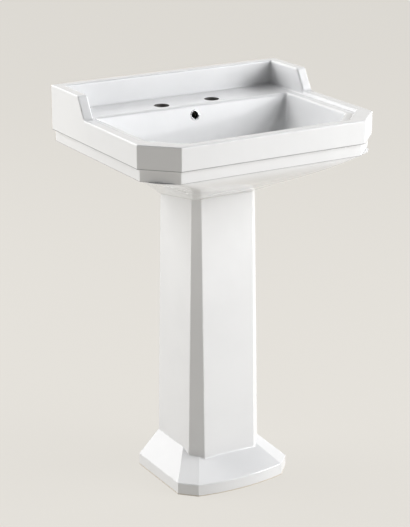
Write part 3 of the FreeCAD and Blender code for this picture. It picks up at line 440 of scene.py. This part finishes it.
FINISHES = {
    "glazed_china": PEDESTAL_CHINA, "chrome_trim": CHROME, "black_rubber": RUBBER, "foam_seal": FOAM,
    "silicone": SILICONE, "brass_nut": BRASS, "steel_pin": STEEL, "white_plastic": PLASTIC,
}
SLOTS = {}
for node_name, node in NODES.items():
    SLOTS[node_name] = node.material_slots[0].material.name.split(".")[0]
    node.material_slots[0].material = FINISHES[SLOTS[node_name]]
NODES["basin"].material_slots[0].material = BASIN_CHINA

# ---------------------------------------------------------------- surfaces from arrays


def grid_faces(index):
    """The quads between neighbouring numbers of a grid of vertex numbers, rows by columns."""
    corners = [index[:-1, :-1], index[1:, :-1], index[1:, 1:], index[:-1, 1:]]
    return np.stack(corners, axis=-1).reshape(-1, 4)


def smooth_mesh(name, spots, faces, material):
    """Smooth-shaded object from arrays of vertices and quads."""
    mesh = bpy.data.meshes.new(name)
    mesh.from_pydata(spots.tolist(), [], faces.tolist())
    mesh.polygons.foreach_set("use_smooth", np.ones(len(faces), bool))
    mesh.update()
    mesh.materials.append(material)
    piece = bpy.data.objects.new(name, mesh)
    bpy.context.scene.collection.objects.link(piece)
    return piece


def loop_surface(name, points, material, closed_rows=True):
    """Mesh from a grid of points, rows by columns.

    The last column joins the first, and the last row joins the first if closed_rows is set. Faces are
    turned outwards by the sign of the volume that they enclose.
    """
    rows, columns = points.shape[:2]
    index = np.arange(rows * columns).reshape(rows, columns)
    if closed_rows:
        index = np.vstack([index, index[:1]])
    index = np.hstack([index, index[:, :1]])
    faces = grid_faces(index)
    spots = points.reshape(-1, 3)
    a, b, c, d = (spots[faces[:, k]] for k in range(4))
    if np.einsum("ij,ij->", np.cross(b - a, c - a) + np.cross(c - a, d - a), a) < 0:
        faces = faces[:, ::-1]
    return smooth_mesh(name, spots, faces, material)


def eased(corners, radius, steps=5):
    """Closed outline with rounded corners.

    Each corner C becomes the curve (1-t)^2 A + 2t(1-t) C + t^2 B, where A and B lie on its two sides,
    'radius' away or at 0.45 of the side if that is less.
    """
    here = np.asarray(corners, float)
    before = np.roll(here, 1, axis=0) - here
    after = np.roll(here, -1, axis=0) - here
    long_before = np.linalg.norm(before, axis=1, keepdims=True)
    long_after = np.linalg.norm(after, axis=1, keepdims=True)
    start = here + before / long_before * np.minimum(radius, 0.45 * long_before)
    end = here + after / long_after * np.minimum(radius, 0.45 * long_after)
    t = np.linspace(0, 1, steps)[None, :, None]
    curve = (1 - t) ** 2 * start[:, None] + 2 * t * (1 - t) * here[:, None] + t ** 2 * end[:, None]
    return curve.reshape(-1, 2)


def densely(outline, gap):
    """The same closed outline with its long sides divided into steps of at most about 'gap'."""
    following = np.roll(outline, -1, axis=0)
    counts = np.maximum(1, np.ceil(np.linalg.norm(following - outline, axis=1) / gap)).astype(int)
    owner = np.repeat(np.arange(len(outline)), counts)
    step = np.arange(len(owner)) - np.repeat(np.cumsum(counts) - counts, counts)
    share = (step / counts[owner])[:, None]
    return outline[owner] * (1 - share) + following[owner] * share


def turned(name, outline, centre, axis, material, around=160, swell=None):
    """Closed ring: an outline of (radius, height) carried once round an axis.

    Point = centre + r(cos a * U + sin a * V) + h * axis, where U and V are square to the axis, and
    r gains swell(r, h, a).
    """
    way = Vector(axis).normalized()
    side = way.orthogonal().normalized()
    other = way.cross(side)
    angle = np.linspace(0, 2 * math.pi, around, endpoint=False)[None, :]
    radius = np.repeat(outline[:, :1], around, axis=1)
    height = np.repeat(outline[:, 1:], around, axis=1)
    if swell:
        radius = radius + swell(radius, height, np.repeat(angle, len(outline), axis=0))
    flat = np.cos(angle)[..., None] * np.array(side) + np.sin(angle)[..., None] * np.array(other)
    points = np.array(centre) + radius[..., None] * flat + height[..., None] * np.array(way)
    return loop_surface(name, points, material)


def grip_ribs(count, depth, low, high, outer):
    """Swell for a nut's grip: flats pressed in between 'count' ribs, fading out over 2 mm at both ends.

    The dent is depth * (1 - |cos(count * a / 2)|^0.6) on the outer skin between the two heights.
    """
    def swell(radius, height, angle):
        fade = np.clip((height - low) / (2 * MM), 0, 1) * np.clip((high - height) / (2 * MM), 0, 1)
        skin = np.clip((radius - (outer - 0.9 * MM)) / (0.6 * MM), 0, 1)
        wave = 1 - np.abs(np.cos(count * angle / 2)) ** 0.6
        return -depth * wave * fade * skin
    return swell


def middle(low, high):
    """Centre of a box."""
    return (low + high) / 2


def stand_in(piece, node_name, body="sink"):
    """The finished piece takes a CAD node's place on its body."""
    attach(piece, body)
    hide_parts(node_name)
    return piece


# ---------------------------------------------------------------- small fittings

OVERFLOW_LEAN = math.radians(12.8)


def overflow_bezel():
    """Chrome bezel in the bowl's back: a rolled bead outside, a bell mouth inside and a short sleeve."""
    low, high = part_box("overflow_ring")
    axis = Vector((0, -math.cos(OVERFLOW_LEAN), math.sin(OVERFLOW_LEAN)))
    outer = (high.x - low.x) / 2
    lean_span = 2 * outer * math.sin(OVERFLOW_LEAN)
    length = ((high.y - low.y) - lean_span) / math.cos(OVERFLOW_LEAN)
    front = middle(low, high) + axis * (length / 2)
    sleeve = outer - 2.4 * MM
    bore = sleeve - 1.3 * MM
    corners = [(bore, -length), (sleeve, -length), (sleeve, -1.7 * MM), (outer, -1.7 * MM),
               (outer, -0.5 * MM), (outer - 1.3 * MM, 0), (bore + 1.6 * MM, 0), (bore, -2.2 * MM)]
    outline = eased(corners, 1.1 * MM, 7)
    # The bezel's bore is darkened as painted shade.
    finish = chrome("bezel_chrome_bore_shade", (front, axis, bore + 0.9 * MM))
    return stand_in(turned("overflow_bezel", outline, front, axis, finish, 120), "overflow_ring")


TRAP_PIPE_R = 16 * MM
WASTE_TAIL_R = 21 * MM
THREAD_PLAY = 0.1 * MM
PIPE_PLAY = 0.4 * MM
NUT_SKIRT = 3.5 * MM


def nut_outline(lip, bore, outer, shut, open_end):
    """Section of a trap nut from its shut end, with a hole of radius 'lip', to its threaded open end.

    Its floor is 3 mm thick, and both outer corners are cut back 0.8 mm by 1.2 mm.
    """
    way = math.copysign(MM, open_end - shut)
    floor = shut + 3 * way
    corners = [(lip, shut), (outer - 0.8 * MM, shut), (outer, shut + 1.2 * way),
               (outer, open_end - 1.2 * way), (outer - 0.8 * MM, open_end), (bore, open_end),
               (bore, floor), (lip, floor)]
    return densely(eased(corners, 0.5 * MM, 3), 1.2 * MM)


def inlet_nut():
    """Ribbed nut that draws the trap's inlet up to the waste."""
    low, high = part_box("trap_inlet_nut")
    centre = middle(low, high)
    outer = (high.x - low.x) / 2
    outline = nut_outline(TRAP_PIPE_R + PIPE_PLAY, WASTE_TAIL_R + THREAD_PLAY, outer, low.z, high.z)
    ribs = grip_ribs(20, 1.3 * MM, low.z + 2 * MM, high.z - 3 * MM, outer)
    spot = Vector((centre.x, centre.y, 0))
    nut = turned("inlet_nut_ribbed", outline, spot, (0, 0, 1), PLASTIC, 240, ribs)
    return stand_in(nut, "trap_inlet_nut")


def outlet_nut():
    """Ribbed nut on the trap's side outlet, with its axis towards the wall."""
    low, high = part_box("outlet_nut")
    centre = middle(low, high)
    outer = (high.x - low.x) / 2
    outline = nut_outline(TRAP_PIPE_R + PIPE_PLAY, outer - NUT_SKIRT, outer, high.y, low.y)
    ribs = grip_ribs(18, 1.2 * MM, low.y + 2 * MM, high.y - 2.5 * MM, outer)
    spot = Vector((centre.x, 0, centre.z))
    nut = turned("outlet_nut_ribbed", outline, spot, (0, 1, 0), PLASTIC, 216, ribs)
    return stand_in(nut, "outlet_nut")


def wall_rose():
    """Flared cover where the waste pipe meets the wall.

    Over a share t from its rim to the pipe, the radius falls evenly, and the height off the wall rises
    as 1 - (1 - t)^2.2.
    """
    low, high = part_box("escutcheon")
    centre = middle(low, high)
    outer = (high.x - low.x) / 2
    bore = TRAP_PIPE_R + 0.2 * MM
    depth = high.y - low.y
    share = np.linspace(0, 1, 22)
    skin_r = outer - (outer - bore - 1.4 * MM) * share
    skin_y = high.y - 1.2 * MM - (depth - 1.2 * MM) * (1 - (1 - share) ** 2.2)
    face = np.stack([skin_r, skin_y], axis=1)
    back = np.array([(bore, low.y + 0.4 * MM), (bore, high.y - 0.2 * MM), (bore + 0.4 * MM, high.y),
                     (outer - 0.6 * MM, high.y), (outer, high.y - 0.6 * MM)])
    outline = np.vstack([face, back])
    spot = Vector((centre.x, 0, centre.z))
    return stand_in(turned("wall_rose", outline, spot, (0, 1, 0), PLASTIC, 160), "escutcheon")


def backnut():
    """Hexagonal brass nut with chamfered corners.

    Its radius in a direction a is flat / cos(a folded into one sixth), trimmed by a cone at both faces.
    """
    low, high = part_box("waste_backnut")
    centre = middle(low, high)
    corner_r = (high.x - low.x) / 2
    flat_r = corner_r * math.cos(math.pi / 6)
    bore = WASTE_TAIL_R + THREAD_PLAY
    corners = [(bore + 0.8 * MM, low.z), (flat_r, low.z), (corner_r, low.z + 1.8 * MM),
               (corner_r, high.z - 1.8 * MM), (flat_r, high.z), (bore + 0.8 * MM, high.z),
               (bore, high.z - 0.8 * MM), (bore, low.z + 0.8 * MM)]
    outline = densely(np.array(corners), 0.8 * MM)

    def hexagon(radius, height, angle):
        folded = np.mod(angle + math.pi / 6, math.pi / 3) - math.pi / 6
        limit = flat_r / np.cos(folded)
        return np.minimum(0, limit - radius)

    spot = Vector((centre.x, centre.y, 0))
    nut = turned("backnut_hexagon", outline, spot, (0, 0, 1), BRASS, 240, hexagon)
    return stand_in(nut, "waste_backnut")


TRAP_BODY_R = 33 * MM
TRAP_WALL = 2.5 * MM


def trap_cup():
    """Screw-off cup: ribbed collar above, plain bottle below, dished foot.

    One outline goes down the outside and up the inside, and its two points 'tip' from the axis close
    the middle of the foot.
    """
    low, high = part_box("trap_cup")
    centre = middle(low, high)
    outer = (high.x - low.x) / 2
    inner = TRAP_BODY_R - TRAP_WALL
    grip = TRAP_BODY_R + THREAD_PLAY
    shelf = high.z - 16 * MM
    tip = 0.05 * MM
    collar = [(grip, high.z), (outer - 0.7 * MM, high.z), (outer, high.z - 0.9 * MM),
              (outer, shelf - 1 * MM), (outer - 1.2 * MM, shelf - 3 * MM), (TRAP_BODY_R, shelf - 6 * MM)]
    bottle = [(TRAP_BODY_R, low.z + 7 * MM), (TRAP_BODY_R - 6 * MM, low.z), (10 * MM, low.z),
              (6 * MM, low.z + 0.8 * MM), (tip, low.z + 0.8 * MM)]
    lining = [(tip, low.z + TRAP_WALL), (inner - 5 * MM, low.z + TRAP_WALL), (inner, low.z + 8 * MM),
              (inner, shelf), (grip, shelf)]
    outline = densely(eased(collar + bottle + lining, 1.6 * MM, 4), 1.6 * MM)
    ribs = grip_ribs(24, 1.2 * MM, shelf - 1.5 * MM, high.z - 1 * MM, outer)
    spot = Vector((centre.x, centre.y, 0))
    cup = turned("trap_cup_ribbed", outline, spot, (0, 0, 1), PLASTIC, 240, ribs)
    return stand_in(cup, "trap_cup", "cup")


def coil_spring():
    """Spring wire: a small circle carried along a helix whose end turns lie flat.

    Height along the turn share u is u - sin(2 pi u) / (2 pi) * 0.6, so the pitch closes up at both ends.
    """
    low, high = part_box("plug_spring")
    centre = middle(low, high)
    wire = 0.6 * MM
    coil = (high.x - low.x) / 2 - wire
    turns = 6
    u = np.linspace(0, 1, 320)
    lift = u - 0.6 * np.sin(2 * math.pi * u) / (2 * math.pi)
    angle = 2 * math.pi * turns * u
    z = low.z + wire + (high.z - low.z - 2 * wire) * lift
    line = np.stack([centre.x + coil * np.cos(angle), centre.y + coil * np.sin(angle), z], axis=1)
    along = np.gradient(line, axis=0)
    along /= np.linalg.norm(along, axis=1, keepdims=True)
    outward = np.stack([np.cos(angle), np.sin(angle), np.zeros_like(angle)], axis=1)
    upward = np.cross(along, outward)
    turn = np.linspace(0, 2 * math.pi, 14, endpoint=False)[None, :, None]
    full = np.full(len(u), wire)
    full[[0, -1]] = 0.02 * MM
    ring = outward[:, None] * np.cos(turn) + upward[:, None] * np.sin(turn)
    points = line[:, None] + full[:, None, None] * ring
    coil_piece = stand_in(loop_surface("spring_coil", points, STEEL, closed_rows=False), "plug_spring")
    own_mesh(coil_piece)
    return coil_piece


overflow_bezel()
inlet_nut()
outlet_nut()
wall_rose()
backnut()
trap_cup()
coil_spring()

# ---------------------------------------------------------------- stage, light and camera

PAPER_TONES = ((0.062, 0.06, 0.056, 1), (0.07, 0.068, 0.063, 1))
PAPER_GLOW = (1, 0.967, 0.905, 1)
PAPER_GLOW_STRENGTH = 0.69
SWEEP_HALF_WIDTH = 20.0
SWEEP_NEAR = -20.0
SWEEP_BEND = 3.2
SWEEP_RADIUS = 2.4
SWEEP_TOP = 9.0


def pale_paper():
    """Backdrop paper that glows a little, so that it is nearly even behind the sink."""
    material = bpy.data.materials.new("pale_paper")
    material.use_nodes = True
    s = Sheet(material.node_tree)
    shader = material.node_tree.nodes["Principled BSDF"]
    place = s.add("ShaderNodeTexCoord").outputs["Object"]
    fibre = s.noise(place, 180.0, 3.0, 0.6)
    s.link(s.blend(fibre, *PAPER_TONES), shader.inputs["Base Color"])
    s.fill(shader, Emission_Color=PAPER_GLOW, Emission_Strength=PAPER_GLOW_STRENGTH)
    s.fill(shader, Roughness=0.95, Specular_IOR_Level=0.1)
    return material


def studio_floor():
    """Pale seamless sweep: a flat floor that turns up behind in a wide quarter circle.

    Over an angle a from 0 to a quarter turn, the curve is y = bend + r sin a and z = r (1 - cos a).
    """
    angle = np.linspace(0, math.pi / 2, 48)
    across = np.array([-SWEEP_HALF_WIDTH, SWEEP_HALF_WIDTH])
    curve_y = SWEEP_BEND + SWEEP_RADIUS * np.sin(angle)
    curve_z = SWEEP_RADIUS * (1 - np.cos(angle))
    along = np.concatenate([[SWEEP_NEAR], curve_y, curve_y[-1:]])
    rise = np.concatenate([[0.0], curve_z, [SWEEP_TOP]])
    points = np.stack(np.broadcast_arrays(across[None, :], along[:, None], rise[:, None]), axis=-1)
    index = np.arange(2 * len(along)).reshape(-1, 2)
    faces = grid_faces(index)[:, ::-1]
    floor = smooth_mesh("studio_sweep", points.reshape(-1, 3), faces, pale_paper())


BANK_SIDE = 2.2
BANK_DISTANCE = 3.2
BANK_AIM = Vector((0, 0, 0.6))
BANK_TONE = (0.995, 1.0, 1.01)


def soft_bank(name, turn, rise, power):
    """Square soft light that faces the sink.

    It stands 'turn' degrees round from the front towards +X, and 'rise' degrees above the level.
    """
    turn, rise = math.radians(turn), math.radians(rise)
    way = Vector((math.sin(turn) * math.cos(rise), -math.cos(turn) * math.cos(rise), math.sin(rise)))
    data = bpy.data.lights.new(name, "AREA")
    data.shape = "SQUARE"
    data.size = BANK_SIDE
    data.energy = power
    data.color = BANK_TONE
    lamp = bpy.data.objects.new(name, data)
    lamp.location = BANK_AIM + way * BANK_DISTANCE
    lamp.rotation_euler = (-way).to_track_quat("-Z", "Y").to_euler()
    bpy.context.scene.collection.objects.link(lamp)


def studio_air():
    """Faint even light from all round."""
    world = bpy.data.worlds.new("studio_air")
    world.use_nodes = True
    air = world.node_tree.nodes["Background"]
    air.inputs["Color"].default_value = (1.0, 0.985, 0.96, 1)
    air.inputs["Strength"].default_value = 0.01
    bpy.context.scene.world = world
    bpy.context.scene.view_settings.view_transform = "Standard"


CAMERA_PLACE = Vector((-1.8488, -3.0614, 1.7253))
CAMERA_AIM = Vector((0, 0.0613, 0.5039))
CAMERA_LENS = 111.9


def studio_camera():
    """Long lens from the front left, a little above the sink."""
    data = bpy.data.cameras.new("studio_camera")
    data.lens = CAMERA_LENS
    data.sensor_width = 36
    camera = bpy.data.objects.new("studio_camera", data)
    camera.location = CAMERA_PLACE
    camera.rotation_euler = (CAMERA_AIM - CAMERA_PLACE).to_track_quat("-Z", "Y").to_euler()
    bpy.context.scene.collection.objects.link(camera)
    bpy.context.scene.camera = camera


studio_floor()
soft_bank("right_front_bank", 38, 18, 47.0)
soft_bank("right_bank", 62, 20, 98.0)
soft_bank("left_back_bank", -127, 25, 58.0)
soft_bank("back_bank", -152, 30, 34.0)
soft_bank("high_back_bank", 180, 50, 16.0)
soft_bank("top_bank", 0, 90, 9.0)
studio_air()
studio_camera()
